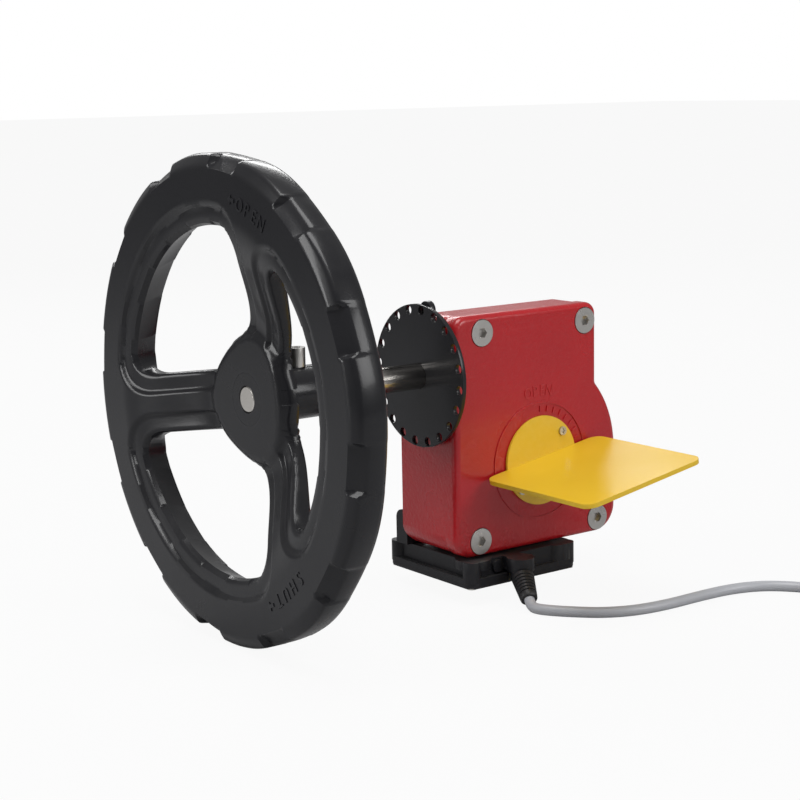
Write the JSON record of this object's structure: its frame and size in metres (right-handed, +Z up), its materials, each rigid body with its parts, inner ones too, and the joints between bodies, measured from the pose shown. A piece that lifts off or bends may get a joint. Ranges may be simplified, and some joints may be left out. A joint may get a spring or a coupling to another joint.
{
  "type": "quarter-turn worm gear valve operator",
  "caption": "Hand operated quarter-turn worm gear valve operator with dished handwheel, holed locking disc, flag position indicator and switch box with signal cable.",
  "frame": {"origin": "centre of the valve mounting face, on the output axis", "axes": "+Y along the output axis into the valve, +Z up, +X along the input shaft from the handwheel to the gear case"},
  "size_m": [0.4566, 0.392, 0.3],
  "materials": {
    "red_enamel": "glossy enamel with a fine orange peel over a cast surface",
    "yellow_enamel": "smooth glossy enamel on sheet",
    "black_enamel": "satin black enamel",
    "black_moulding": "fine grained moulding",
    "stainless": "turned stainless",
    "ground_steel": "ground bar",
    "bronze": "machined bronze",
    "gear_iron": "machined ductile iron",
    "seal_rubber": "nitrile",
    "boot_rubber": "soft moulded boot",
    "cable_grey": "smooth PVC sheath",
    "board_green": "solder mask",
    "terminal_grey": "polyamide",
    "core_copper": "tinned ferrules",
    "tie_black": "nylon tie"
  },
  "bodies": {
    "case": {"gear_housing": "red_enamel", "cover_gasket": "seal_rubber", "housing_cover": "red_enamel", "cover_screws": "stainless", "input_bush_left": "bronze", "input_bush_right": "bronze", "shaft_seal": "seal_rubber", "rear_bush": "bronze", "rear_seal": "seal_rubber", "front_bush": "bronze", "stem_seal": "seal_rubber", "stop_pins": "ground_steel", "lock_lug": "black_enamel", "lug_screws": "stainless", "switch_box_body": "black_moulding", "switch_box_lid": "black_moulding", "box_lid_seal": "seal_rubber", "box_lid_screws": "stainless", "box_mount_gasket": "seal_rubber", "box_mount_screws": "stainless", "strap_screw": "stainless", "position_sensors": "stainless", "circuit_board": "board_green", "terminal_block": "terminal_grey", "blind_plug": "black_moulding", "gland_nut": "black_moulding", "strain_relief_boot": "boot_rubber", "cable_tube": "cable_grey", "cable_coil": "cable_grey", "cable_tail": "cable_grey", "conductor_ends": "core_copper", "coil_tie": "tie_black"},
    "input": {"input_shaft": "ground_steel", "worm": "ground_steel", "worm_pin": "ground_steel", "spacer_collar": "ground_steel", "thrust_washers": "bronze", "handwheel": "black_enamel", "hub_sleeve": "black_enamel", "hub_cross_pin": "ground_steel", "hub_bolt": "stainless", "locking_disc": "black_enamel", "disc_grub_screw": "ground_steel"},
    "output": {"sector_gear": "gear_iron", "sensor_targets": "stainless", "indicator_driver": "black_moulding", "indicator_disc": "yellow_enamel", "flag_plate": "yellow_enamel", "indicator_screws": "stainless"}
  },
  "joints": [
    {"name": "handwheel_turn", "type": "hinge", "parent": "case", "child": "input", "pos_m": [0, -0.05, 0.062], "axis": [1, 0, 0], "range_deg": [-2415, 285]},
    {"name": "output_turn", "type": "hinge", "parent": "case", "child": "output", "pos_m": [0, 0, 0], "axis": [0, 1, 0], "range_deg": [-80.5, 9.5]}
  ],
  "couplings": [
    {"joint": "output_turn", "follows": "handwheel_turn", "ratio": 0.033333}
  ]
}
